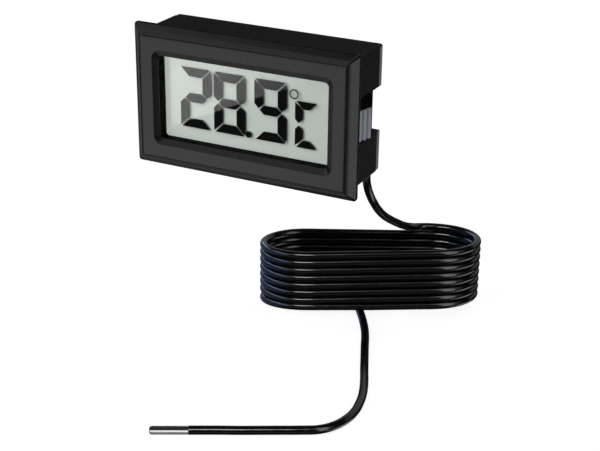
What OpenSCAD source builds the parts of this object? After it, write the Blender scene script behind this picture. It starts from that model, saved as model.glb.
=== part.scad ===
// Panel-mount digital thermometer with a wired temperature probe.
// Origin: centre of the bezel's back plane, which bears on the panel.
// X runs to the right, Y runs back through the panel, Z is up. Millimetres.

/* [Bezel] */
// Width of the bezel
bezel_w = 48; // [47:0.5:52]
// Height of the bezel
bezel_h = 28.6; // [28:0.2:32]
// Thickness of the bezel in front of the panel
bezel_t = 2.2; // [1.8:0.1:3]
// Thickness of the square rim behind the sloping edges
rim_t = 0.7; // [0.4:0.1:1]
// Width of the sloping edges, seen from the front
slope_w = 1.6; // [1:0.1:2.2]

/* [Case] */
// Width of the case behind the panel
case_w = 45; // [44.6:0.1:46]
// Height of the case behind the panel
case_h = 25.5; // [25.2:0.1:26]
// Depth of the case behind the panel
case_d = 13; // [12.8:0.2:16]
// Wall thickness of the case
wall = 1.2; // [1:0.1:1.4]

/* [Window] */
// Width of the window opening
window_w = 36.4; // [34:0.2:37]
// Height of the window opening
window_h = 16.8; // [15:0.2:17.4]
// Width of the bevel round the window
window_bevel = 1.2; // [0.6:0.1:1.4]

/* [Display] */
// Height of the big digits
digit_h = 12.2; // [10:0.2:13]
// Width of one big digit
digit_w = 6.8; // [6:0.2:7]
// Width of a digit's strokes
stroke = 1.8; // [1.4:0.1:2]

/* [Battery] */
// Diameter of a button cell
cell_d = 11.6; // [11.4:0.1:11.6]
// Thickness of a button cell
cell_t = 5.4; // [5.2:0.1:5.4]

/* [Probe lead] */
// Diameter of the lead
cord_d = 1.65; // [1.4:0.05:1.65]
// Turns stacked in the coil
coil_turns = 8; // [6:1:8]
// Length of the probe's metal sleeve
probe_l = 7; // [6:0.2:8]

/* [Hidden] */
$fn = 48;
eps = 0.01;

// Layers behind the window, front faces along Y
window_back = 0.4;
polariser_t = 0.15;
glass_t = 0.5;
film_t = 0.1;
reflector_t = 0.15;
front_glass_y = window_back + polariser_t;
film_y = front_glass_y + glass_t;
rear_glass_y = film_y + film_t;
reflector_y = rear_glass_y + glass_t;
digit_x = [-15, -7.5, 1.4];
digit_parts = ["abged", "abcdefg", "abcdfg"];
board_y = 3.4;
board_t = 1.0;
board_back = board_y + board_t;

// Sizes of the display stack and its holder
glass_w = 38.2;
glass_h = 21.2;
holder_w = 39;
holder_h = 22.6;
rear_glass_h = 18.4;
film_w = 37.6;
film_h = 18;
zebra_z = 9.9;
zebra_h = 1.1;
board_w = 38.6;
board_h = 22.2;

// Rear cover, its screws and the battery tray
cover_t = 1.2;
cover_y = case_d - cover_t;
screw_places = [[-19.6, 10.3], [19.6, 10.3], [-16.4, -10.3], [16.4, -10.3]];
boss_r = 1.45;
boss_y = board_back + 0.6;
cell_x = 6.6;
cell_z = -4;
cell_y = 6;
tray_w = 26.4;
tray_h = 12.8;
tray_wall = 0.8;
tray_floor_y = 5.0;
door_w = 25;
door_top = 3.4;
door_t = 0.7;
door_y = case_d - door_t;
door_tongue = 0.8;
door_gap = 0.15;

// Side notches and their sprung latches
notch_top = 4.6;
notch_bottom = -4.4;
notch_in = 2.2;
latch_top = 4.3;
latch_bottom = -4.1;
leaf_in = 20.7;
leaf_out = 21.5;
leaf_front = 1.4;
leaf_back = 11.5;
ramp_front = [21.9, 1.7];
ramp_back = [23.3, 7.1];
ramp_root = 9.4;
grip_top = 2.2;
grip_bottom = -3.9;
grip_t = 0.5;
rib_count = 4;
rib_r = 0.3;

// Where the lead leaves the case
exit_x = 21.2;
exit_y = 10.4;
case_bottom = -case_h / 2;
cord_hole_r = cord_d / 2 + 0.05;
cord_groove = 3;

// Coil: an oval of straight sides and elliptical ends, its axis upright
floor_z = -48;
coil_x = 17;
coil_y = 23.5;
coil_turn = 28;
coil_straight = 13;
coil_end = 9.4;
coil_half = 6.4;
coil_pitch = 1.7;
coil_top = floor_z + 2 * cord_d + (coil_turns - 1) * coil_pitch;
coil_steps = 12;

// Route of the lead from the case down to the top of the coil
upper_route = [[21.2, 10.4, -12.75], [21.2, 10.4, -14.2], [21.3, 10.8, -15.8], [21.4, 12, -18],
               [21.3, 14.3, -20.5], [21.1, 17.2, -23.1], [21.1, 20.4, -25.6], [21.3, 23.6, -27.7],
               [21.7, 26.9, -29.7], [22.1, 29.8, -31.3], [22.8, 32.2, -32.3], [23.9, 34.1, -32.8],
               [25.5, 35.2, -32.9]];
// Route of the lead from under the coil along the floor to the probe
tail_route = [[17, 18.6, -47.15], [18.7, 16, -47.15], [20.4, 13.2, -47.15], [22, 10.3, -47.15],
              [23.4, 7.3, -47.15], [24.7, 4.2, -47.15], [26, 1.2, -47.15], [27.3, -1.8, -47.15],
              [28.6, -4.8, -47.15], [29.9, -7.7, -47.15], [31.1, -10.6, -47.15], [32.1, -13.5, -47.15],
              [32.8, -16.4, -47.15], [33.2, -19.4, -47.15], [33, -22.4, -47.15], [32, -25.5, -47.15],
              [30.2, -27.9, -47.15], [27.3, -29.7, -47.15], [24.1, -31.4, -47.15], [20.9, -33.1, -47.15],
              [17.7, -34.8, -47.15], [14.5, -36.4, -47.15], [9.5, -39, -47.15]];
// The probe's sleeve, and the bead of the sensor at its tip
probe_r = 0.8;
probe_bore = 0.55;
bead_r = 0.45;
bead_l = 1.8;
bead_x = probe_l - 2.6;

// ---- helpers ----

// Rounded rectangle centred on the origin
module rounded_rect(w, h, r) {
    square([w - 2 * r, h], center = true);
    square([w, h - 2 * r], center = true);
    for (x = [-1, 1], z = [-1, 1])
        translate([x * (w / 2 - r), z * (h / 2 - r)]) circle(r, $fn = 32);
}

// Extrudes a drawing in X and Z backwards from y0 through thickness t
module slab(y0, t) {
    translate([0, y0 + t, 0]) rotate([90, 0, 0]) linear_extrude(t) children();
}

// Block given by its lowest corner and its highest corner
module block(low, high) {
    translate(low) cube(high - low);
}

// Cylinder along +Y
module rod_y(x, y0, z, r, len) {
    translate([x, y0, z]) rotate([-90, 0, 0]) cylinder(r = r, h = len);
}

function unit(v) = v / norm(v);

// Direction of a route at point i
function heading(route, i) =
    i == 0 ? unit(route[1] - route[0])
    : i == len(route) - 1 ? unit(route[i] - route[i - 1])
    : unit(route[i + 1] - route[i - 1]);

// Eight-sided ring of points round route point i, square to the route
function ring(route, i, r) =
    let (t = heading(route, i),
         side = unit(cross(t, abs(t[2]) > 0.9 ? [0, 1, 0] : [0, 0, 1])),
         up = cross(side, t))
    [for (k = [0:7]) route[i] + r * (cos(45 * k + 22.5) * side + sin(45 * k + 22.5) * up)];

// Closed tube of eight sides along a route
module tube(route, r) {
    n = len(route);
    points = [for (i = [0:n - 1]) each ring(route, i, r)];
    sides = [for (i = [0:n - 2], k = [0:7])
        [8 * i + k, 8 * i + (k + 1) % 8, 8 * i + 8 + (k + 1) % 8, 8 * i + 8 + k]];
    caps = [[for (k = [7:-1:0]) k], [for (k = [0:7]) 8 * (n - 1) + k]];
    polyhedron(points = points, faces = concat(sides, caps), convexity = 4);
}

// Oval outline: half an ellipse at each end of two straight sides
function oval(straight, end, half) =
    [for (k = [-coil_steps:coil_steps]) let (a = 90 * k / coil_steps)
        [straight + end * cos(a), half * sin(a)],
     for (k = [-coil_steps:coil_steps]) let (a = 180 + 90 * k / coil_steps)
        [-straight + end * cos(a), half * sin(a)]];

// ---- front housing ----

// Front plate with sloping edges: two trapezoid prisms crossed, corners trimmed round
module bezel_plate() {
    intersection() {
        linear_extrude(bezel_h, center = true)
            polygon([[-bezel_w / 2, 0], [-bezel_w / 2, -rim_t],
                     [-bezel_w / 2 + slope_w, -bezel_t], [bezel_w / 2 - slope_w, -bezel_t],
                     [bezel_w / 2, -rim_t], [bezel_w / 2, 0]]);
        rotate([90, 0, 90]) linear_extrude(bezel_w, center = true)
            polygon([[0, -bezel_h / 2], [-rim_t, -bezel_h / 2],
                     [-bezel_t, -bezel_h / 2 + slope_w], [-bezel_t, bezel_h / 2 - slope_w],
                     [-rim_t, bezel_h / 2], [0, bezel_h / 2]]);
        slab(-bezel_t, bezel_t) rounded_rect(bezel_w, bezel_h, 0.6);
    }
}

// Window: a bevelled frame that narrows to a straight-sided opening
module window_cut() {
    bevel_d = 0.6;
    hull() {
        slab(-bezel_t - eps, eps)
            rounded_rect(window_w + 2 * window_bevel, window_h + 2 * window_bevel, 1.7);
        slab(-bezel_t + bevel_d, eps) rounded_rect(window_w, window_h, 0.9);
    }
    slab(-bezel_t + bevel_d, bezel_t) rounded_rect(window_w, window_h, 0.9);
}

// Notch through one side of the case for a latch, open at the rear
module side_notch(side, front) {
    y1 = case_d + 1;
    x0 = case_w / 2 - notch_in;
    translate([side > 0 ? x0 : -x0 - notch_in - 1, front, notch_bottom])
        cube([notch_in + 1, y1 - front, notch_top - notch_bottom]);
}

module screw_boss(x, z) {
    rod_y(x, boss_y, z, boss_r, cover_y - boss_y);
}

module front_housing() {
    color([0.07, 0.07, 0.075]) difference() {
        union() {
            bezel_plate();
            difference() {
                slab(-eps, cover_y + eps) rounded_rect(case_w, case_h, 0.5);
                slab(window_back, cover_y)
                    rounded_rect(case_w - 2 * wall, case_h - 2 * wall, 0.4);
            }
            for (place = screw_places) screw_boss(place[0], place[1]);
        }
        window_cut();
        for (side = [-1, 1]) side_notch(side, 1);
        for (place = screw_places) rod_y(place[0], cover_y - 4, place[1], 0.45, 5);
        translate([exit_x, exit_y, case_bottom - 1]) cylinder(r = cord_hole_r, h = 1 + cord_groove);
    }
}

// ---- display ----

// One stroke-segment digit drawn from its lower left corner; parts picks the segments
module digit(w, h, t, parts) {
    k = 0.24;
    m = h / 2;
    half = t / 2;
    shapes = [
        ["a", [[k, h], [w - k, h], [w - t - k, h - t], [t + k, h - t]]],
        ["b", [[w, h - k], [w, m + half + k], [w - half, m + k], [w - t, m + half + k],
               [w - t, h - t - k]]],
        ["c", [[w, k], [w, m - half - k], [w - half, m - k], [w - t, m - half - k],
               [w - t, t + k]]],
        ["d", [[k, 0], [w - k, 0], [w - t - k, t], [t + k, t]]],
        ["e", [[0, k], [0, m - half - k], [half, m - k], [t, m - half - k], [t, t + k]]],
        ["f", [[0, h - k], [0, m + half + k], [half, m + k], [t, m + half + k],
               [t, h - t - k]]],
        ["g", [[half + k, m], [t + k, m + half], [w - t - k, m + half], [w - half - k, m],
               [w - t - k, m - half], [t + k, m - half]]]];
    for (shape = shapes) if (len(search(shape[0], parts)) > 0) polygon(shape[1]);
}

// Three digits with a point before the last, a degree ring and a smaller letter C
module lcd_drawing() {
    low = -digit_h / 2;
    for (i = [0:2]) translate([digit_x[i], low]) digit(digit_w, digit_h, stroke, digit_parts[i]);
    translate([0.05, low + 0.6]) circle(0.65);
    translate([9.8, 4.2]) difference() {
        circle(0.95);
        circle(0.75);
    }
    translate([10.1, low - 0.1]) digit(4.7, 9.2, 1.5, "afed");
}

module lcd_polariser() {
    color([0.72, 0.75, 0.72]) slab(window_back, polariser_t) rounded_rect(film_w, film_h, 0.3);
}

module lcd_front_glass() {
    color([0.75, 0.78, 0.75]) slab(front_glass_y, glass_t) square([glass_w, glass_h], center = true);
}

module lcd_segments() {
    color([0.03, 0.03, 0.03]) slab(film_y, film_t) lcd_drawing();
}

module lcd_rear_glass() {
    color([0.72, 0.76, 0.72]) slab(rear_glass_y, glass_t)
        square([glass_w, rear_glass_h], center = true);
}

module lcd_reflector() {
    color([0.7, 0.74, 0.69]) slab(reflector_y, reflector_t) rounded_rect(film_w, film_h, 0.3);
}

// Frame that centres the glass and keeps the board square behind it
module lcd_holder() {
    color([0.85, 0.85, 0.83]) difference() {
        slab(window_back, board_y - window_back) square([holder_w, holder_h], center = true);
        slab(window_back - 1, 4) square([glass_w + 0.1, glass_h + 0.1], center = true);
        for (side = [-1, 1]) block([side * 21 - 2, reflector_y + 0.4, -3], [side * 21 + 2, 5, 3]);
    }
}

// Conducting rubber strip that joins the glass to the board
module zebra_strip(z) {
    for (layer = [0:2]) color(layer == 1 ? [0.1, 0.1, 0.1] : [0.8, 0.5, 0.5])
        block([-16, film_y, z - zebra_h / 2 + layer * zebra_h / 3],
              [16, board_y, z - zebra_h / 2 + (layer + 1) * zebra_h / 3]);
}

module zebra_strip_upper() {
    zebra_strip(zebra_z);
}

module zebra_strip_lower() {
    zebra_strip(-zebra_z);
}

// ---- electronics ----

module circuit_board() {
    color([0.05, 0.3, 0.12]) difference() {
        slab(board_y, board_t) square([board_w, board_h], center = true);
        for (x = [-11, 11]) rod_y(x, board_y - 1, 9, 0.5, 3);
        for (z = [6.2, 7.6]) rod_y(17.8, board_y - 1, -z, 0.35, 3);
    }
}

// Round blob of resin over the controller die, flat against the board
module controller_chip() {
    color([0.04, 0.04, 0.04]) intersection() {
        translate([-4, board_back - 3.4, 7.4]) sphere(r = 4.4, $fn = 120);
        block([-9, board_back, 3.9], [1, board_back + 2, 10.9]);
    }
}

module quartz_crystal() {
    color([0.8, 0.8, 0.8]) {
        translate([3, board_back + 0.95, 7.6]) rotate([0, 90, 0]) cylinder(r = 0.95, h = 6);
        for (dz = [-0.35, 0.35])
            translate([9, board_back + 0.95, 7.6 + dz]) rotate([0, 90, 0])
                cylinder(r = 0.15, h = 1.4, $fn = 16);
    }
}

module smd_part(x, z) {
    block([x - 0.8, board_back, z - 0.4], [x + 0.8, board_back + 0.45, z + 0.4]);
}

module smd_resistors() {
    color([0.1, 0.1, 0.1]) for (i = [0:3]) smd_part(-16.6, 5.6 - 1.6 * i);
}

module smd_capacitors() {
    color([0.7, 0.6, 0.45]) for (i = [0:2]) smd_part(16.6, 5.6 - 1.6 * i);
}

// ---- battery compartment ----

module button_cell(x) {
    color([0.8, 0.8, 0.82]) {
        rod_y(x, cell_y + 0.7, cell_z, cell_d / 2, cell_t - 0.7);
        rod_y(x, cell_y, cell_z, cell_d / 2 - 1.2, 0.7);
    }
}

module button_cell_left() {
    button_cell(-cell_x);
}

module button_cell_right() {
    button_cell(cell_x);
}

// Spring strip beside the left cell, with a leg down to the board
module contact_positive() {
    color([0.85, 0.8, 0.6]) {
        block([-cell_x - cell_d / 2 - 0.35, board_back, -6], [-cell_x - cell_d / 2 - 0.05, 10.6, -2]);
    }
}

// Strip under the right cell, with a leg down to the board
module contact_negative() {
    color([0.85, 0.8, 0.6]) {
        block([4, cell_y - 0.35, -7], [9.6, cell_y - 0.05, -1]);
        block([6, board_back, -1.3], [8, cell_y - 0.05, -1]);
    }
}

// Strip under the left cell that rises beside the right cell
module contact_bridge() {
    color([0.85, 0.8, 0.6]) {
        block([-9.6, cell_y - 0.35, -7], [-0.15, cell_y - 0.05, -1]);
        block([-0.15, cell_y - 0.35, -9.6], [0.15, 10.6, -7.2]);
        block([-0.9, cell_y - 0.35, -8], [0.15, cell_y - 0.05, -7]);
    }
}

module door_channel_cut(extra) {
    w = door_w / 2 + extra;
    block([-w, door_y - extra, case_bottom - 1], [w, case_d + 1, door_top + extra]);
    block([-w - door_tongue, door_y - extra, case_bottom - 1],
          [w + door_tongue, door_y + 0.3 + extra, door_top + extra]);
}

module rear_cover() {
    color([0.07, 0.07, 0.075]) difference() {
        union() {
            slab(cover_y, cover_t) rounded_rect(case_w, case_h, 0.5);
            block([-tray_w / 2 - tray_wall, tray_floor_y, cell_z - tray_h / 2 - tray_wall],
                  [tray_w / 2 + tray_wall, cover_y + eps, cell_z + tray_h / 2 + tray_wall]);
        }
        block([-tray_w / 2, tray_floor_y + 0.6, cell_z - tray_h / 2],
              [tray_w / 2, case_d + 1, cell_z + tray_h / 2]);
        block([5.8, tray_floor_y - 1, -1.5], [8.2, cell_y, -0.8]);
        block([-cell_x - cell_d / 2 - 0.45, tray_floor_y - 1, -6.2],
              [-cell_x - cell_d / 2 + 0.05, cell_y, -1.8]);
        door_channel_cut(door_gap);
        for (side = [-1, 1]) side_notch(side, cover_y - 1);
        for (place = screw_places) translate([place[0], 0, place[1]]) {
            rod_y(0, cover_y - 1, 0, 0.6, 3);
            translate([0, case_d - 0.6, 0]) rotate([-90, 0, 0])
                cylinder(r1 = 0.65, r2 = 1.3, h = 0.61);
        }
    }
}

// Small countersunk screws with a cross recess
module cover_screws() {
    color([0.6, 0.6, 0.62]) for (place = screw_places)
        translate([place[0], 0, place[1]]) difference() {
            union() {
                rod_y(0, cover_y - 3.6, 0, 0.44, 4.4);
                translate([0, case_d - 0.62, 0]) rotate([-90, 0, 0])
                    cylinder(r1 = 0.6, r2 = 1.2, h = 0.6);
            }
            for (a = [0, 90]) translate([0, case_d, 0]) rotate([0, a, 0])
                cube([1.3, 0.7, 0.28], center = true);
        }
}

// Door that slides down out of the cover, with tongues along both sides and a ribbed thumb pad
module battery_door() {
    color([0.08, 0.08, 0.085]) {
        block([-door_w / 2, door_y, case_bottom], [door_w / 2, case_d, door_top]);
        block([-door_w / 2 - door_tongue, door_y, case_bottom],
              [door_w / 2 + door_tongue, door_y + 0.3, door_top]);
        for (i = [0:4]) block([-4, case_d - eps, -10.8 + i * 1.1], [4, case_d + 0.2, -10.3 + i * 1.1]);
    }
}

// ---- side latches ----

// Top view of the black spring leaf and its ramp
module leaf_outline(cut) {
    polygon([[leaf_in, leaf_front], [leaf_out - 0.3, leaf_front],
             ramp_front - [cut, 0], ramp_back - [cut, 0], ramp_back + [-0.3 - cut, 0.8],
             [leaf_out, ramp_root], [leaf_out, leaf_back], [leaf_in, leaf_back]]);
}

// Leaf: full section above the grip, set back by the grip's thickness beside it
module latch_leaf(side) {
    mirror([side > 0 ? 0 : 1, 0, 0]) color([0.05, 0.05, 0.055]) {
        translate([0, 0, grip_top]) linear_extrude(latch_top - grip_top) leaf_outline(0);
        translate([0, 0, latch_bottom]) linear_extrude(grip_top - latch_bottom)
            leaf_outline(grip_t);
    }
}

// Light pad with upright ribs on the leaf's sloping face
module latch_grip(side) {
    slope = ramp_back - ramp_front;
    mirror([side > 0 ? 0 : 1, 0, 0]) color([0.5, 0.51, 0.54])
        translate([0, 0, grip_bottom]) linear_extrude(grip_top - grip_bottom) {
            polygon([ramp_front - [grip_t, 0], ramp_front - [rib_r, 0],
                     ramp_back - [rib_r, 0], ramp_back - [grip_t, 0]]);
            intersection() {
                for (i = [0:rib_count - 1])
                    translate(ramp_front - [rib_r, 0] + slope * (i + 0.5) / rib_count)
                        circle(rib_r * 1.9, $fn = 24);
                polygon([ramp_front - [rib_r + eps, 0], ramp_front + [rib_r, 0],
                         ramp_back + [rib_r, 0], ramp_back - [rib_r + eps, 0]]);
            }
        }
}

module latch_leaf_right() {
    latch_leaf(1);
}

module latch_leaf_left() {
    latch_leaf(-1);
}

module latch_grip_right() {
    latch_grip(1);
}

module latch_grip_left() {
    latch_grip(-1);
}

// ---- probe lead ----

// Clip inside the case that grips the lead above its hole
module cord_clamp() {
    color([0.8, 0.8, 0.78]) difference() {
        block([18.6, exit_y - 1, case_bottom + wall], [20.7, exit_y + 1, case_bottom + wall + 1.6]);
        translate([exit_x, exit_y, case_bottom]) cylinder(r = cord_hole_r, h = 4);
    }
}

// Straight round strand from one point to another
module strand(start, end, r) {
    way = end - start;
    translate(start) rotate([0, acos(way[2] / norm(way)), atan2(way[1], way[0])])
        cylinder(r = r, h = norm(way));
}

// The lead's two cores inside the case, from the lead's end to the board
module lead_wires() {
    color([0.6, 0.1, 0.1]) for (i = [0, 1])
        strand([exit_x - 0.3 - 0.8 * i, exit_y - 0.3, case_bottom + cord_groove + 0.3],
               [17.8, board_back, -7.6 + 1.4 * i], 0.3);
}

module probe_cord_upper() {
    color([0.04, 0.04, 0.05]) {
        tube(upper_route, cord_d / 2);
        translate([exit_x, exit_y, case_bottom - eps]) cylinder(r = cord_d / 2 + 0.02, h = cord_groove);
    }
}

// Outer shape of the stacked turns: an oval ring
module probe_cord_coil() {
    r = cord_d / 2 + 0.05;
    color([0.04, 0.04, 0.05]) translate([coil_x, coil_y, floor_z]) rotate([0, 0, coil_turn])
        linear_extrude(coil_top - floor_z) difference() {
            polygon(oval(coil_straight, coil_end + r, coil_half + r));
            polygon(oval(coil_straight, coil_end - r, coil_half - r));
        }
}

module probe_cord_tail() {
    color([0.04, 0.04, 0.05]) tube(tail_route, cord_d / 2);
}

// Places what follows at the end of the tail, with +X pointing on along the lead
module at_tail_end() {
    last = len(tail_route) - 1;
    end = tail_route[last];
    way = heading(tail_route, last);
    translate(end) rotate([0, 0, atan2(way[1], way[0])]) children();
}

// Polished metal sleeve with a rounded closed tip
module probe_sleeve() {
    color([0.75, 0.75, 0.76]) at_tail_end() difference() {
        rotate([0, 90, 0]) rotate_extrude()
            polygon([[0, 0], [probe_r, 0], [probe_r, probe_l - 0.4], [probe_r - 0.12, probe_l - 0.12],
                     [probe_r - 0.4, probe_l], [0, probe_l]]);
        rotate([0, 90, 0]) translate([0, 0, -eps]) cylinder(r = probe_bore, h = probe_l - 0.6);
    }
}

module thermistor() {
    color([0.1, 0.1, 0.1]) at_tail_end() {
        translate([bead_x, 0, 0]) rotate([0, 90, 0]) cylinder(r = bead_r, h = bead_l);
        for (dy = [-0.2, 0.2]) translate([0.05, dy, 0]) rotate([0, 90, 0])
            cylinder(r = 0.1, h = bead_x, $fn = 16);
    }
}

front_housing();
lcd_polariser();
lcd_front_glass();
lcd_segments();
lcd_rear_glass();
lcd_reflector();
lcd_holder();
zebra_strip_upper();
zebra_strip_lower();
circuit_board();
controller_chip();
quartz_crystal();
smd_resistors();
smd_capacitors();
contact_positive();
contact_negative();
contact_bridge();
button_cell_left();
button_cell_right();
rear_cover();
cover_screws();
battery_door();
latch_leaf_right();
latch_leaf_left();
latch_grip_right();
latch_grip_left();
cord_clamp();
lead_wires();
probe_cord_upper();
probe_cord_coil();
probe_cord_tail();
probe_sleeve();
thermistor();
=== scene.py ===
"""Looks of a panel-mount digital thermometer with a wired probe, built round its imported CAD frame."""
import math

import bmesh
import bpy
from mathutils import Euler, Matrix, Vector


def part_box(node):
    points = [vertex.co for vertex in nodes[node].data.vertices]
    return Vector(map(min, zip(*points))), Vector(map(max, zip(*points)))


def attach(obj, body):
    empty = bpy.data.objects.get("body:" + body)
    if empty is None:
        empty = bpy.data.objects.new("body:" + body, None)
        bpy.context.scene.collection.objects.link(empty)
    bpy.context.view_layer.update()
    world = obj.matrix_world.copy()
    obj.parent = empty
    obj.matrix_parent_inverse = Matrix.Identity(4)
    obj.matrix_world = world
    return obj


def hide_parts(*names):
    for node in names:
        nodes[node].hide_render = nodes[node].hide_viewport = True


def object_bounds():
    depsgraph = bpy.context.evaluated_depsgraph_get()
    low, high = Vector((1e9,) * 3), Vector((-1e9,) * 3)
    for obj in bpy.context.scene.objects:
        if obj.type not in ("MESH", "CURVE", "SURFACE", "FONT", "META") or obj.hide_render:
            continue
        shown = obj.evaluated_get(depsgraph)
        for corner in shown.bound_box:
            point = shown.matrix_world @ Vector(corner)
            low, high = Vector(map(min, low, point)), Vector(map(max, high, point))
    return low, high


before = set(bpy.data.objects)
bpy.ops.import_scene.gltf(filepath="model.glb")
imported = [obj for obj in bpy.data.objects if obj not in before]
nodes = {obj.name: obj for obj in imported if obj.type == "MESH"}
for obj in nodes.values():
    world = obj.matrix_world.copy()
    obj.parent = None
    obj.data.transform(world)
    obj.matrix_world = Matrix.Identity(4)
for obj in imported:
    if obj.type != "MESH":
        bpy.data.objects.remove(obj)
cad_low, cad_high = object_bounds()
MM = 0.001


def box_mm(name):
    """Lowest and highest corner of a CAD node, in millimetres."""
    return [[round(value / MM, 3) for value in corner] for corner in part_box(name)]


# ---- sizes, in millimetres unless a name says otherwise ----

# Bezel and case, from the CAD housing, rear cover and display film
HOUSING_LOW, HOUSING_HIGH = box_mm("front_housing")
COVER_HIGH = box_mm("rear_cover")[1]
BEZEL_W, BEZEL_H, BEZEL_T = 2 * HOUSING_HIGH[0], 2 * HOUSING_HIGH[2], -HOUSING_LOW[1]
CASE_W, CASE_H, CASE_D = 2 * COVER_HIGH[0], 2 * COVER_HIGH[2], COVER_HIGH[1]
SHELL_D = HOUSING_HIGH[1]
WINDOW_BACK = box_mm("lcd_polariser")[0][1]
RIM_T, SLOPE_W = 0.7, 1.6
WALL = 1.2
# Corner radii at the bezel's edge, on its face, outside the case and inside it
BEZEL_R, FACE_R, CASE_R, INSIDE_R = 0.6, 0.15, 0.25, 0.4
WINDOW_W, WINDOW_H, WINDOW_R = 36.4, 16.8, 0.9
BEVEL_W, BEVEL_D, BEVEL_R = 1.2, 0.6, 1.7
NOTCH_TOP, NOTCH_BOTTOM, NOTCH_IN, NOTCH_FRONT = 4.6, -4.4, 2.2, 1.0
HOLE_GAP = 0.05
# How far a cutter runs past what it cuts
PAST_SIDE, PAST_END = 10, 1

# Lead
CORD_D = 1.65
FLOOR_Z = round(cad_low[2] / MM, 3)
COIL_CENTRE = Vector((17, 23.5))
COIL_TURN = math.radians(28)
COIL_STRAIGHT, COIL_END, COIL_HALF = 13, 9.4, 6.4
COIL_PITCH, COIL_TURNS = 1.7, 8
COIL_FRONT_Z = -33.6
END_STEPS = 16
SIDE_SHARES = (-0.75, -0.5, -0.25, 0, 0.25, 0.5, 0.75)
# Under the coil the lead turns forward about this point along the oval, at this radius, in these
# steps. It runs straight for a little before the turn, and after it to this far across the oval
UNDER_U, UNDER_R, UNDER_STEPS = -7.5, 5.2, 6
UNDER_BEFORE, UNDER_END = 2.5, -2
UPPER_ROUTE = [(21.2, 10.4, -12.75), (21.2, 10.4, -14.2), (21.3, 10.8, -15.8), (21.4, 12, -18),
               (21.3, 14.3, -20.5), (21.1, 17.2, -23.1), (21.1, 20.4, -25.6), (21.3, 23.6, -27.7),
               (21.7, 26.9, -29.7), (22.1, 29.8, -31.3), (22.8, 32.2, -32.3), (23.9, 34.1, -32.8),
               (25.5, 35.2, -32.9)]
TAIL_ROUTE = [(17, 18.6, -47.15), (18.7, 16, -47.15), (20.4, 13.2, -47.15), (22, 10.3, -47.15),
              (23.4, 7.3, -47.15), (24.7, 4.2, -47.15), (26, 1.2, -47.15), (27.3, -1.8, -47.15),
              (28.6, -4.8, -47.15), (29.9, -7.7, -47.15), (31.1, -10.6, -47.15), (32.1, -13.5, -47.15),
              (32.8, -16.4, -47.15), (33.2, -19.4, -47.15), (33, -22.4, -47.15), (32, -25.5, -47.15),
              (30.2, -27.9, -47.15), (27.3, -29.7, -47.15), (24.1, -31.4, -47.15), (20.9, -33.1, -47.15),
              (17.7, -34.8, -47.15), (14.5, -36.4, -47.15), (9.5, -39, -47.15)]

# Glare on the display: its lower edge as (x, z), the spot that it is aimed at, and its card in metres
GLARE_EDGE = ((-18.5, -6.8), (8.1, 4.8))
GLARE_AIM = (-22, 4)
CARD_DISTANCE, CARD_W, CARD_H = 0.07, 0.09, 0.05
CARD_ENERGY, CARD_SPREAD = 0.00015, math.radians(16)
# Where the sleeve's lights are aimed, in metres
SLEEVE_AIM = (0, -0.04, -0.047)


# ---- camera ----

# Place in metres, turn in degrees
CAMERA_PLACE, CAMERA_TURN = (0.1195, -0.2185, 0.0847), (66.376, -0.69, 26.503)
LENS, SENSOR_W = 82.26, 36


def make_camera():
    data = bpy.data.cameras.new("camera")
    data.lens, data.sensor_width = LENS, SENSOR_W
    data.clip_start, data.clip_end = 0.01, 20
    camera = bpy.data.objects.new("camera", data)
    camera.location = CAMERA_PLACE
    camera.rotation_euler = Euler([math.radians(angle) for angle in CAMERA_TURN], "XYZ")
    bpy.context.scene.collection.objects.link(camera)
    bpy.context.scene.camera = camera


make_camera()


# ---- lead ----

def coil_point(u, v, z):
    """A point given along and across the coil's oval."""
    c, s = math.cos(COIL_TURN), math.sin(COIL_TURN)
    return Vector((COIL_CENTRE.x + u * c - v * s, COIL_CENTRE.y + u * s + v * c, z))


def oval_loop():
    """One turn as (u, v), from the middle of the front round by the left end."""
    arc = [math.radians(180 * k / END_STEPS) for k in range(END_STEPS + 1)]
    sides = [COIL_STRAIGHT * share for share in SIDE_SHARES]
    middle = len(sides) // 2
    left = [(-COIL_STRAIGHT - COIL_END * math.sin(a), -COIL_HALF * math.cos(a)) for a in arc]
    right = [(COIL_STRAIGHT + COIL_END * math.sin(a), COIL_HALF * math.cos(a)) for a in arc]
    front = [(x, -COIL_HALF) for x in reversed(sides)]
    return front[middle:] + left + [(x, COIL_HALF) for x in sides] + right + front[:middle]


def coil_route():
    """The stacked turns, from the start of the right end, and the way out under them to the tail."""
    loop = oval_loop()
    steps = [math.dist(a, b) for a, b in zip(loop, loop[1:] + loop[:1])]
    along = [sum(steps[:i]) / sum(steps) for i in range(len(loop))]
    left_start = len(SIDE_SHARES) // 2 + 1
    right_start = left_start + END_STEPS + 1 + len(SIDE_SHARES)
    points = [coil_point(*loop[i], COIL_FRONT_Z + COIL_PITCH * (1 - along[i]))
              for i in range(right_start + 1, len(loop))]
    for turn in range(COIL_TURNS - 1):
        points += [coil_point(*p, COIL_FRONT_Z - COIL_PITCH * (turn + a)) for p, a in zip(loop, along)]
    last = COIL_FRONT_Z - COIL_PITCH * (COIL_TURNS - 1)
    low = TAIL_ROUTE[0][2]
    for i in range(left_start + END_STEPS + 1):
        share = max(0.0, (i - left_start) / END_STEPS)
        points.append(coil_point(*loop[i], last + (low - last) * share * share * (3 - 2 * share)))
    points.append(coil_point(UNDER_U - UNDER_BEFORE, COIL_HALF, low))
    for k in range(UNDER_STEPS + 1):
        turn = math.radians(90 * (1 - k / UNDER_STEPS))
        points.append(coil_point(UNDER_U + UNDER_R * math.cos(turn),
                                 COIL_HALF - UNDER_R * (1 - math.sin(turn)), low))
    points.append(coil_point(UNDER_U + UNDER_R, UNDER_END, low))
    return points


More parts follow.
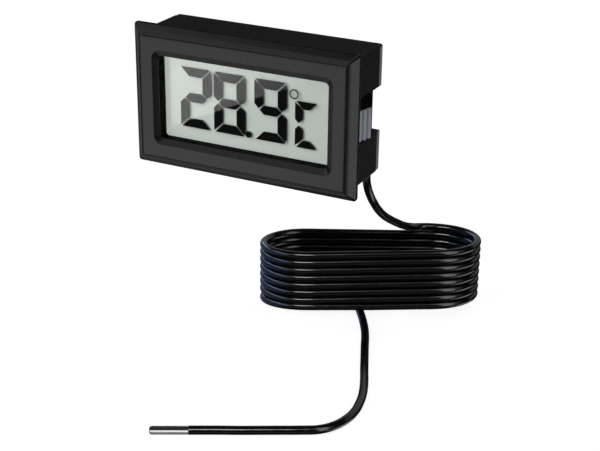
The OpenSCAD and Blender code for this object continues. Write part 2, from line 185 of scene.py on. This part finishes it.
def make_lead():
    points = [Vector(p) for p in UPPER_ROUTE] + coil_route() + [Vector(p) for p in TAIL_ROUTE]
    data = bpy.data.curves.new("probe_lead", "CURVE")
    data.dimensions = "3D"
    data.bevel_depth = CORD_D / 2 * MM
    data.bevel_resolution = 8
    data.use_fill_caps = True
    data.resolution_u = 6
    spline = data.splines.new("BEZIER")
    spline.bezier_points.add(len(points) - 1)
    for knot, point in zip(spline.bezier_points, points):
        knot.co = point * MM
        knot.handle_left_type = knot.handle_right_type = "AUTO"
    lead = bpy.data.objects.new("probe_lead", data)
    bpy.context.scene.collection.objects.link(lead)
    return lead


lead = make_lead()


# ---- mesh helpers ----

def add_mesh(name, verts, faces):
    """A new object from points in millimetres, its normals turned outwards."""
    data = bpy.data.meshes.new(name)
    data.from_pydata([Vector(v) * MM for v in verts], [], faces)
    bm = bmesh.new()
    bm.from_mesh(data)
    bmesh.ops.remove_doubles(bm, verts=bm.verts, dist=1e-7)
    bmesh.ops.recalc_face_normals(bm, faces=bm.faces)
    bm.to_mesh(data)
    bm.free()
    piece = bpy.data.objects.new(name, data)
    bpy.context.scene.collection.objects.link(piece)
    return piece


def ring(w, h, r, y, steps=6):
    """Points of a rounded rectangle in X and Z at depth y."""
    corners = [(1, 1, 0), (-1, 1, 90), (-1, -1, 180), (1, -1, 270)]
    return [(x * (w / 2 - r) + r * math.cos(math.radians(start + 90 * k / steps)), y,
             z * (h / 2 - r) + r * math.sin(math.radians(start + 90 * k / steps)))
            for x, z, start in corners for k in range(steps + 1)]


def skin(name, rings, closed=False):
    """A surface through rings of equal length; open ones are capped."""
    n = len(rings[0])
    verts = [p for points in rings for p in points]
    faces = []
    for i in range(len(rings) if closed else len(rings) - 1):
        a, b = i * n, (i + 1) % len(rings) * n
        faces += [(a + k, a + (k + 1) % n, b + (k + 1) % n, b + k) for k in range(n)]
    if not closed:
        faces += [tuple(range(n)), tuple(range((len(rings) - 1) * n, len(rings) * n))]
    return add_mesh(name, verts, faces)


def rounded(path, radii, steps=5):
    """A 2-D path whose inner corners become arcs of the given radii."""
    out = [Vector(path[0])]
    for a, b, c, r in zip(path, path[1:], path[2:], radii):
        a, b, c = Vector(a), Vector(b), Vector(c)
        if r <= 0:
            out.append(b)
            continue
        to_a, to_c = (a - b).normalized(), (c - b).normalized()
        half = to_a.angle(to_c) / 2
        centre = b + (to_a + to_c).normalized() * (r / math.sin(half))
        start = b + to_a * (r / math.tan(half)) - centre
        end = b + to_c * (r / math.tan(half)) - centre
        turn = math.atan2(start.x * end.y - start.y * end.x, start.dot(end))
        out += [centre + Matrix.Rotation(turn * k / steps, 2) @ start for k in range(steps + 1)]
    out.append(Vector(path[-1]))
    return out


def box_mesh(name, low, high):
    verts = [(x, y, z) for x in (low[0], high[0]) for y in (low[1], high[1]) for z in (low[2], high[2])]
    faces = [(0, 1, 3, 2), (4, 6, 7, 5), (0, 4, 5, 1), (2, 3, 7, 6), (0, 2, 6, 4), (1, 5, 7, 3)]
    return add_mesh(name, verts, faces)


def lathe(name, profile, axis_point, axis, steps=48):
    """Turns a profile of (radius, distance along the axis) about an axis, closed at its ends."""
    turn = Vector((0, 0, 1)).rotation_difference(Vector(axis)).to_matrix()
    rings = [[Vector(axis_point) + turn @ Vector((r * math.cos(2 * math.pi * k / steps),
                                                  r * math.sin(2 * math.pi * k / steps), d))
              for k in range(steps)] for r, d in profile]
    return skin(name, rings)


def settle(piece):
    """Replaces a piece's mesh by what its modifiers make of it."""
    graph = bpy.context.evaluated_depsgraph_get()
    made = bpy.data.meshes.new_from_object(piece.evaluated_get(graph))
    piece.modifiers.clear()
    old = piece.data
    piece.data = made
    bpy.data.meshes.remove(old)


def cut(piece, *cutters):
    for cutter in cutters:
        modifier = piece.modifiers.new("cut", "BOOLEAN")
        modifier.operation, modifier.solver, modifier.object = "DIFFERENCE", "EXACT", cutter
    settle(piece)
    for cutter in cutters:
        bpy.data.objects.remove(cutter)


def soften(piece, width, segments=2, angle=35):
    """Rounds the sharp edges of a piece, or of a CAD node, with modifiers alone."""
    weld = piece.modifiers.new("weld", "WELD")
    weld.merge_threshold = 1e-6
    flat = piece.modifiers.new("flat", "DECIMATE")
    flat.decimate_type, flat.angle_limit = "DISSOLVE", math.radians(0.5)
    bevel = piece.modifiers.new("bevel", "BEVEL")
    bevel.width, bevel.segments, bevel.limit_method = width * MM, segments, "ANGLE"
    bevel.angle_limit, bevel.harden_normals = math.radians(angle), False
    bevel.use_clamp_overlap = True
    weights = piece.modifiers.new("weights", "WEIGHTED_NORMAL")
    weights.keep_sharp = True
    for polygon in piece.data.polygons:
        polygon.use_smooth = True


def shade(piece, angle=30):
    """Smooth shading that keeps edges over the angle sharp."""
    for polygon in piece.data.polygons:
        polygon.use_smooth = True
    piece.data.set_sharp_from_angle(angle=math.radians(angle))
    weights = piece.modifiers.new("weights", "WEIGHTED_NORMAL")
    weights.keep_sharp = True


# ---- materials ----

class Finish:
    """A Principled material with helpers for its procedural detail."""

    def __init__(self, name, roughness=0.4, metallic=0.0, specular=0.5):
        self.material = bpy.data.materials.new(name)
        self.material.use_nodes = True
        self.tree = self.material.node_tree
        self.shader = self.tree.nodes["Principled BSDF"]
        self.place = self.tree.nodes.new("ShaderNodeTexCoord")
        for key, value in {"Roughness": roughness, "Metallic": metallic,
                           "Specular IOR Level": specular}.items():
            self.shader.inputs[key].default_value = value

    def noise(self, scale, detail=2.0, stretch=(1, 1, 1)):
        mapping = self.tree.nodes.new("ShaderNodeMapping")
        mapping.inputs["Scale"].default_value = stretch
        self.tree.links.new(self.place.outputs["Object"], mapping.inputs["Vector"])
        node = self.tree.nodes.new("ShaderNodeTexNoise")
        node.inputs["Scale"].default_value = scale
        node.inputs["Detail"].default_value = detail
        self.tree.links.new(mapping.outputs["Vector"], node.inputs["Vector"])
        return node.outputs["Fac"]

    def ramp(self, source, stops):
        node = self.tree.nodes.new("ShaderNodeValToRGB")
        elements = node.color_ramp.elements
        while len(elements) < len(stops):
            elements.new(0.5)
        for element, (position, colour) in zip(elements, stops):
            element.position = position
            element.color = (*colour, 1)
        self.tree.links.new(source, node.inputs["Fac"])
        return node.outputs["Color"]

    def span(self, source, low, high, start=0.3, end=0.7):
        node = self.tree.nodes.new("ShaderNodeMapRange")
        for key, value in {"From Min": start, "From Max": end, "To Min": low, "To Max": high}.items():
            node.inputs[key].default_value = value
        self.tree.links.new(source, node.inputs["Value"])
        return node.outputs["Result"]

    def drive(self, key, source):
        self.tree.links.new(source, self.shader.inputs[key])

    def bump(self, source, strength, distance):
        node = self.tree.nodes.new("ShaderNodeBump")
        node.inputs["Strength"].default_value = strength
        node.inputs["Distance"].default_value = distance * MM
        self.tree.links.new(source, node.inputs["Height"])
        self.tree.links.new(node.outputs["Normal"], self.shader.inputs["Normal"])


def plastic(name, dark, light, roughness, specular=0.5, grain=9000, bump=0.05, blotch=160):
    """Moulded plastic: slight blotches of colour, uneven gloss and a fine eroded grain."""
    finish = Finish(name, specular=specular)
    wide = finish.noise(blotch, 3)
    fine = finish.noise(grain, 2)
    finish.drive("Base Color", finish.ramp(wide, [(0.35, dark), (0.65, light)]))
    finish.drive("Roughness", finish.span(fine, roughness - 0.04, roughness + 0.04))
    finish.bump(fine, bump, 0.02)
    return finish.material


def metal(name, dark, light, roughness, stretch=(1, 1, 1), grain=2500):
    """Metal with fine drawing lines or tumbling marks."""
    finish = Finish(name, metallic=1.0)
    fine = finish.noise(grain, 3, stretch)
    finish.drive("Base Color", finish.ramp(fine, [(0.3, dark), (0.7, light)]))
    finish.drive("Roughness", finish.span(fine, roughness * 0.7, roughness * 1.3))
    finish.bump(fine, 0.04, 0.02)
    return finish.material


def grey(level, tint=(1, 1, 1)):
    return tuple(level * t for t in tint)


materials = {
    "case": plastic("case_black", grey(0.007), grey(0.01), 0.27),
    # Matte near-black for the window's inner wall: painted shade of the recess, which is really the same
    # case plastic
    "recess": plastic("recess_black", grey(0.001), grey(0.002), 0.6, specular=0.05),
    "cover": plastic("cover_black", grey(0.008), grey(0.012), 0.36, bump=0.1),
    "latch": plastic("latch_black", grey(0.002), grey(0.003), 0.4, specular=0.08),
    # Light grey base colour on the grips stands in for sheen of light on black ribs: a painted reflection
    "grip": plastic("grip_painted_sheen", (0.41, 0.43, 0.5), (0.47, 0.49, 0.56), 0.45),
    "cord": plastic("cord_black", (0.003, 0.003, 0.005), (0.005, 0.005, 0.008), 0.16, bump=0.02,
                    grain=5000),
    "holder": plastic("holder_white", grey(0.62), grey(0.7), 0.5),
    "clamp": plastic("clamp_white", grey(0.55), grey(0.62), 0.5),
    "board": plastic("board_green", (0.01, 0.07, 0.025), (0.014, 0.09, 0.03), 0.35, blotch=500),
    "resin": plastic("resin_black", grey(0.01), grey(0.016), 0.15),
    "ceramic_dark": plastic("ceramic_black", grey(0.02), grey(0.04), 0.4),
    "ceramic": plastic("ceramic_tan", (0.35, 0.25, 0.15), (0.42, 0.31, 0.19), 0.4),
    "rubber": plastic("rubber_grey", grey(0.03), grey(0.05), 0.6),
    "wire": plastic("wire_red", (0.35, 0.02, 0.02), (0.42, 0.03, 0.025), 0.35),
    "ink": plastic("segments_black", grey(0.003), grey(0.005), 0.5, specular=0.05),
    "steel": metal("steel_polished", grey(0.5, (1, 0.99, 0.97)), grey(0.6, (1, 0.99, 0.97)), 0.1),
    "nickel": metal("nickel_bright", grey(0.5, (1, 0.98, 0.94)), grey(0.66, (1, 0.98, 0.94)), 0.22),
    "contact": metal("contact_plated", (0.5, 0.42, 0.25), (0.62, 0.54, 0.34), 0.3),
    "screw": metal("screw_zinc", grey(0.35), grey(0.5), 0.32),
}


def reflector_material():
    finish = Finish("display_grey_green", roughness=0.7, specular=0.2)
    fine = finish.noise(7000, 2)
    wide = finish.noise(30, 1)
    finish.drive("Base Color", finish.ramp(wide, [(0.3, (0.515, 0.54, 0.522)),
                                                  (0.7, (0.545, 0.57, 0.552))]))
    finish.bump(fine, 0.05, 0.02)
    return finish.material


def clear_material(name, gloss, tint):
    """See-through sheet: mostly clear, with a thin mirror over it."""
    material = bpy.data.materials.new(name)
    material.use_nodes = True
    tree = material.node_tree
    tree.nodes.remove(tree.nodes["Principled BSDF"])
    out = tree.nodes["Material Output"]
    clear = tree.nodes.new("ShaderNodeBsdfTransparent")
    clear.inputs["Color"].default_value = (*tint, 1)
    mirror = tree.nodes.new("ShaderNodeBsdfGlossy")
    mirror.inputs["Roughness"].default_value = 0.03
    mirror.inputs["Color"].default_value = (1, 1, 1, 1)
    mix = tree.nodes.new("ShaderNodeMixShader")
    mix.inputs["Fac"].default_value = gloss
    tree.links.new(clear.outputs["BSDF"], mix.inputs[1])
    tree.links.new(mirror.outputs["BSDF"], mix.inputs[2])
    tree.links.new(mix.outputs["Shader"], out.inputs["Surface"])
    return material


materials["reflector"] = reflector_material()
materials["polariser"] = clear_material("polariser_clear", 0.05, (0.98, 0.99, 0.98))
materials["glass"] = clear_material("glass_clear", 0.0, (0.99, 1.0, 0.99))


def paint(piece, material):
    piece.data.materials.clear()
    piece.data.materials.append(materials[material])


def finish_piece(piece, body, material, slot, *replaced):
    """Paints a new piece, puts it on its body and hides the CAD nodes it stands for."""
    if material:
        paint(piece, material)
    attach(piece, body)
    if replaced:
        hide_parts(*replaced)
    return piece


# ---- housing ----

def housing_shell():
    """One closed ring of sections: out over the bezel, back along the case and in to the window."""
    front = -BEZEL_T
    face = (BEZEL_H / 2 - SLOPE_W) - (WINDOW_H / 2 + BEVEL_W)
    overhang = (BEZEL_W - CASE_W) / 2
    # Distance in from the bezel's edge against depth
    outer = rounded([(SLOPE_W + face / 2, front), (SLOPE_W, front), (0, -RIM_T), (0, 0), (overhang, 0)],
                    [2.0, 0.35, 0.12], steps=7)
    # Distance out from the window's edge against depth
    inner = rounded([(0, WINDOW_BACK), (0, front + BEVEL_D), (BEVEL_W, front), (BEVEL_W + face / 2, front)],
                    [0.15, 0.3])
    rings = []
    for inset, y in outer:
        corner = max(FACE_R, BEZEL_R - 0.25 * inset)
        rings.append(ring(BEZEL_W - 2 * inset, BEZEL_H - 2 * inset, corner, y))
    rings[-1] = ring(CASE_W, CASE_H, CASE_R, 0)
    rings += [ring(CASE_W, CASE_H, CASE_R, SHELL_D),
              ring(CASE_W - 2 * WALL, CASE_H - 2 * WALL, INSIDE_R, SHELL_D),
              ring(CASE_W - 2 * WALL, CASE_H - 2 * WALL, INSIDE_R, WINDOW_BACK)]
    for out, y in inner:
        corner = WINDOW_R + (BEVEL_R - WINDOW_R) * min(out, BEVEL_W) / BEVEL_W
        rings.append(ring(WINDOW_W + 2 * out, WINDOW_H + 2 * out, corner, y))
    shell = skin("housing_shell", rings[:-1], closed=True)
    notch_x = CASE_W / 2 - NOTCH_IN
    notches = [box_mesh("notch", (x, NOTCH_FRONT, NOTCH_BOTTOM),
                        (x + PAST_SIDE, CASE_D + PAST_END, NOTCH_TOP))
               for x in (-notch_x - PAST_SIDE, notch_x)]
    hole_r = CORD_D / 2 + HOLE_GAP
    hole = lathe("hole", [(hole_r, -PAST_END), (hole_r, WALL + PAST_END)],
                 (*UPPER_ROUTE[0][:2], -CASE_H / 2), (0, 0, 1))
    cut(shell, *notches, hole)
    shade(shell)
    shell.data.materials.append(materials["case"])
    # The window's inner wall takes this second finish, near-black and matte: painted shade inside the
    # recess
    shell.data.materials.append(materials["recess"])
    for polygon in shell.data.polygons:
        x, y, z = polygon.center / MM
        inside = abs(x) < WINDOW_W / 2 + 0.01 and abs(z) < WINDOW_H / 2 + 0.01
        polygon.material_index = 1 if inside and y < WINDOW_BACK else 0
    return shell


shell = finish_piece(housing_shell(), "case", None, "case_plastic", "front_housing")

# ---- carried-over CAD nodes ----

CAD_FINISHES = {
    "lcd_polariser": "polariser", "lcd_front_glass": "glass", "lcd_rear_glass": "glass",
    "lcd_segments": "ink", "lcd_reflector": "reflector", "lcd_holder": "holder",
    "zebra_strip_upper": "rubber", "zebra_strip_lower": "rubber", "circuit_board": "board",
    "controller_chip": "resin", "quartz_crystal": "nickel", "smd_resistors": "ceramic_dark",
    "smd_capacitors": "ceramic", "contact_positive": "contact", "contact_negative": "contact",
    "contact_bridge": "contact", "button_cell_left": "nickel", "button_cell_right": "nickel",
    "rear_cover": "cover", "cover_screws": "screw", "battery_door": "cover",
    "latch_leaf_right": "latch", "latch_leaf_left": "latch", "latch_grip_right": "grip",
    "latch_grip_left": "grip", "cord_clamp": "clamp", "lead_wires": "wire", "thermistor": "resin",
    "probe_sleeve": "steel"}
SOFTENED = {"rear_cover": 0.15, "battery_door": 0.1, "latch_leaf_right": 0.1, "latch_leaf_left": 0.1,
            "latch_grip_right": 0.06, "latch_grip_left": 0.06, "button_cell_left": 0.3,
            "button_cell_right": 0.3}
for name, finish in CAD_FINISHES.items():
    paint(nodes[name], finish)
for name, width in SOFTENED.items():
    soften(nodes[name], width)

finish_piece(lead, "case", "cord", "cord_jacket", "probe_cord_upper", "probe_cord_coil",
             "probe_cord_tail")


# ---- floor, world and lights ----

def make_floor():
    data = bpy.data.meshes.new("floor")
    side = 3.0
    z = FLOOR_Z * MM
    data.from_pydata([(-side, -side, z), (side, -side, z), (side, side, z), (-side, side, z)], [],
                     [(0, 1, 2, 3)])
    floor = bpy.data.objects.new("floor", data)
    bpy.context.scene.collection.objects.link(floor)
    material = bpy.data.materials.new("floor_white")
    material.use_nodes = True
    shader = material.node_tree.nodes["Principled BSDF"]
    shader.inputs["Base Color"].default_value = (0.8, 0.8, 0.8, 1)
    shader.inputs["Roughness"].default_value = 0.9
    shader.inputs["Specular IOR Level"].default_value = 0.0
    shader.inputs["Emission Color"].default_value = (1, 1, 1, 1)
    shader.inputs["Emission Strength"].default_value = 0.9
    data.materials.append(material)
    for ray in ("visible_diffuse", "visible_glossy", "visible_shadow", "visible_transmission"):
        setattr(floor, ray, False)


def make_world():
    world = bpy.data.worlds.new("studio")
    world.use_nodes = True
    tree = world.node_tree
    out = tree.nodes["World Output"]
    seen = tree.nodes["Background"]
    seen.inputs["Color"].default_value = (1, 1, 1, 1)
    fill = tree.nodes.new("ShaderNodeBackground")
    fill.inputs["Color"].default_value = (0.9, 0.95, 1, 1)
    fill.inputs["Strength"].default_value = 0.045
    path = tree.nodes.new("ShaderNodeLightPath")
    mix = tree.nodes.new("ShaderNodeMixShader")
    tree.links.new(path.outputs["Is Camera Ray"], mix.inputs["Fac"])
    tree.links.new(fill.outputs["Background"], mix.inputs[1])
    tree.links.new(seen.outputs["Background"], mix.inputs[2])
    tree.links.new(mix.outputs["Shader"], out.inputs["Surface"])
    bpy.context.scene.world = world


def panel(name, azimuth, elevation, wide, high, radiance, distance=0.7, colour=(1, 1, 1), only=None,
          target=(0, 0, -0.01)):
    """Soft panel seen from the target at an angle, as wide and high as the given angles. Azimuth 0 is
    in front and 90 to the right. only names "gloss" or "fill" for a panel that does just that."""
    a, e = math.radians(azimuth), math.radians(elevation)
    away = Vector((math.sin(a) * math.cos(e), -math.cos(a) * math.cos(e), math.sin(e)))
    data = bpy.data.lights.new(name, "AREA")
    data.shape = "RECTANGLE"
    data.size = 2 * distance * math.tan(math.radians(wide) / 2)
    data.size_y = 2 * distance * math.tan(math.radians(high) / 2)
    data.energy = radiance * math.pi * data.size * data.size_y
    data.color = colour
    light = bpy.data.objects.new(name, data)
    light.location = Vector(target) + away * distance
    light.rotation_euler = away.to_track_quat("Z", "Y").to_euler()
    light.visible_camera = False
    light.visible_diffuse = only != "gloss"
    light.visible_glossy = only != "fill"
    bpy.context.scene.collection.objects.link(light)
    return light


def link(light, names, exclude=False):
    """Lets a light reach only the named pieces, or all but them."""
    group = bpy.data.collections.new(light.name + "_reach")
    for name in names:
        group.objects.link(bpy.data.objects[name])
    if exclude:
        for entry in group.collection_objects:
            entry.light_linking.link_state = "EXCLUDE"
    light.light_linking.receiver_collection = group


def block(light, names):
    """Lets only the named pieces cast this light's shadows."""
    group = bpy.data.collections.new(light.name + "_block")
    for name in names:
        group.objects.link(bpy.data.objects[name])
    light.light_linking.blocker_collection = group


def glare_card():
    """A card whose mirror image lies across the display's upper left, its lower edge a slant."""
    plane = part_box("lcd_polariser")[0][1]
    eye = bpy.context.scene.camera.location

    def reflected(spot):
        """A spot on the display, and the way on from it for a ray from the camera."""
        point = Vector((spot[0] * MM, plane, spot[1] * MM))
        way = (point - eye).normalized()
        return point, Vector((way.x, -way.y, way.z))

    out = reflected(GLARE_AIM)[1]
    ends = [point + way * CARD_DISTANCE for point, way in map(reflected, GLARE_EDGE)]
    along = ends[1] - ends[0]
    along = (along - out * along.dot(out)).normalized()
    up = out.cross(along)
    data = bpy.data.lights.new("glare_card", "AREA")
    data.shape = "RECTANGLE"
    data.size, data.size_y = CARD_W, CARD_H
    data.energy = CARD_ENERGY
    data.spread = CARD_SPREAD
    card = bpy.data.objects.new("glare_card", data)
    card.rotation_euler = Matrix((along, up, out)).transposed().to_euler()
    card.location = (ends[0] + ends[1]) / 2 + up * CARD_H / 2
    card.visible_camera = card.visible_diffuse = False
    bpy.context.scene.collection.objects.link(card)
    link(card, ["lcd_polariser"])
    block(card, ["lcd_segments"])


make_floor()
make_world()
studio = [
    panel("key_left", -31, -21, 38, 26, 1.25),
    panel("key_right", 62, -18, 36, 36, 1.32),
    panel("right_inner", 32, -18, 18, 36, 0.5, only="gloss"),
    panel("top_strip", -35, 15, 50, 13, 1.0),
    panel("upper_left", -42, 42, 50, 30, 0.6),
    panel("lower_left", -65, -58, 50, 30, 0.4),
    panel("side_left", -92, -10, 30, 50, 0.5),
    panel("side_right", 100, -5, 36, 60, 1.0, only="fill"),
    panel("overhead", 20, 60, 40, 16, 1.0, only="gloss"),
    panel("back_low", 195, -22, 40, 26, 0.8),
    panel("back_high", 165, 45, 50, 24, 0.6),
]
for light in studio:
    link(light, ["lcd_polariser", "lcd_segments", "lcd_reflector", "probe_lead", "probe_sleeve"],
         exclude=True)
glints = [
    panel("glint_white", 15, 42, 22, 14, 14.0, only="gloss"),
    panel("glint_line", 20, -27, 60, 16, 0.42, only="gloss", colour=(0.92, 0.94, 1.0)),
    panel("glint_soft", 68, 24, 40, 60, 0.35, only="gloss"),
    panel("glint_grey", 63, 22, 22, 80, 2.6, only="gloss"),
    panel("glint_low", 115, -45, 40, 30, 1.5, only="gloss"),
    panel("glint_blue", -69, 0, 116, 90, 0.6, only="gloss", colour=(0.4, 0.53, 1.0)),
    panel("glint_blue_line", -69, 42, 116, 14, 5.0, only="gloss", colour=(0.6, 0.7, 1.0)),
    panel("glint_rear", 180, 25, 120, 40, 0.5, only="gloss"),
]
for light in glints:
    link(light, ["probe_lead"])
sleeve_lights = [
    panel("sleeve_band", 26, 3, 110, 40, 1.5, distance=0.3, only="gloss", target=SLEEVE_AIM),
    panel("sleeve_low", 26, -45, 110, 56, 0.35, distance=0.3, only="gloss", target=SLEEVE_AIM),
    panel("sleeve_rear", 206, 5, 110, 30, 1.2, distance=0.3, only="gloss", target=SLEEVE_AIM),
]
for light in sleeve_lights:
    link(light, ["probe_sleeve"])
display_lights = [
    panel("display_key", -38, 32, 40, 40, 4.0, distance=0.2, only="fill"),
    panel("display_front", -10, 10, 40, 40, 4.4, distance=0.2, only="fill"),
]
for light in display_lights:
    link(light, ["lcd_reflector"])
    block(light, ["lcd_segments"])
cover_lights = [
    panel("cover_right", 128, -12, 30, 50, 1.2),
    panel("cover_left", 232, -12, 30, 50, 1.2),
    panel("cover_back", 180, -14, 60, 34, 0.8),
]
for light in cover_lights:
    link(light, ["rear_cover", "battery_door", "cover_screws", "button_cell_left", "button_cell_right"])
glare_card()
bpy.context.scene.cycles.transparent_max_bounces = 32

bpy.context.scene.view_settings.view_transform = "Standard"
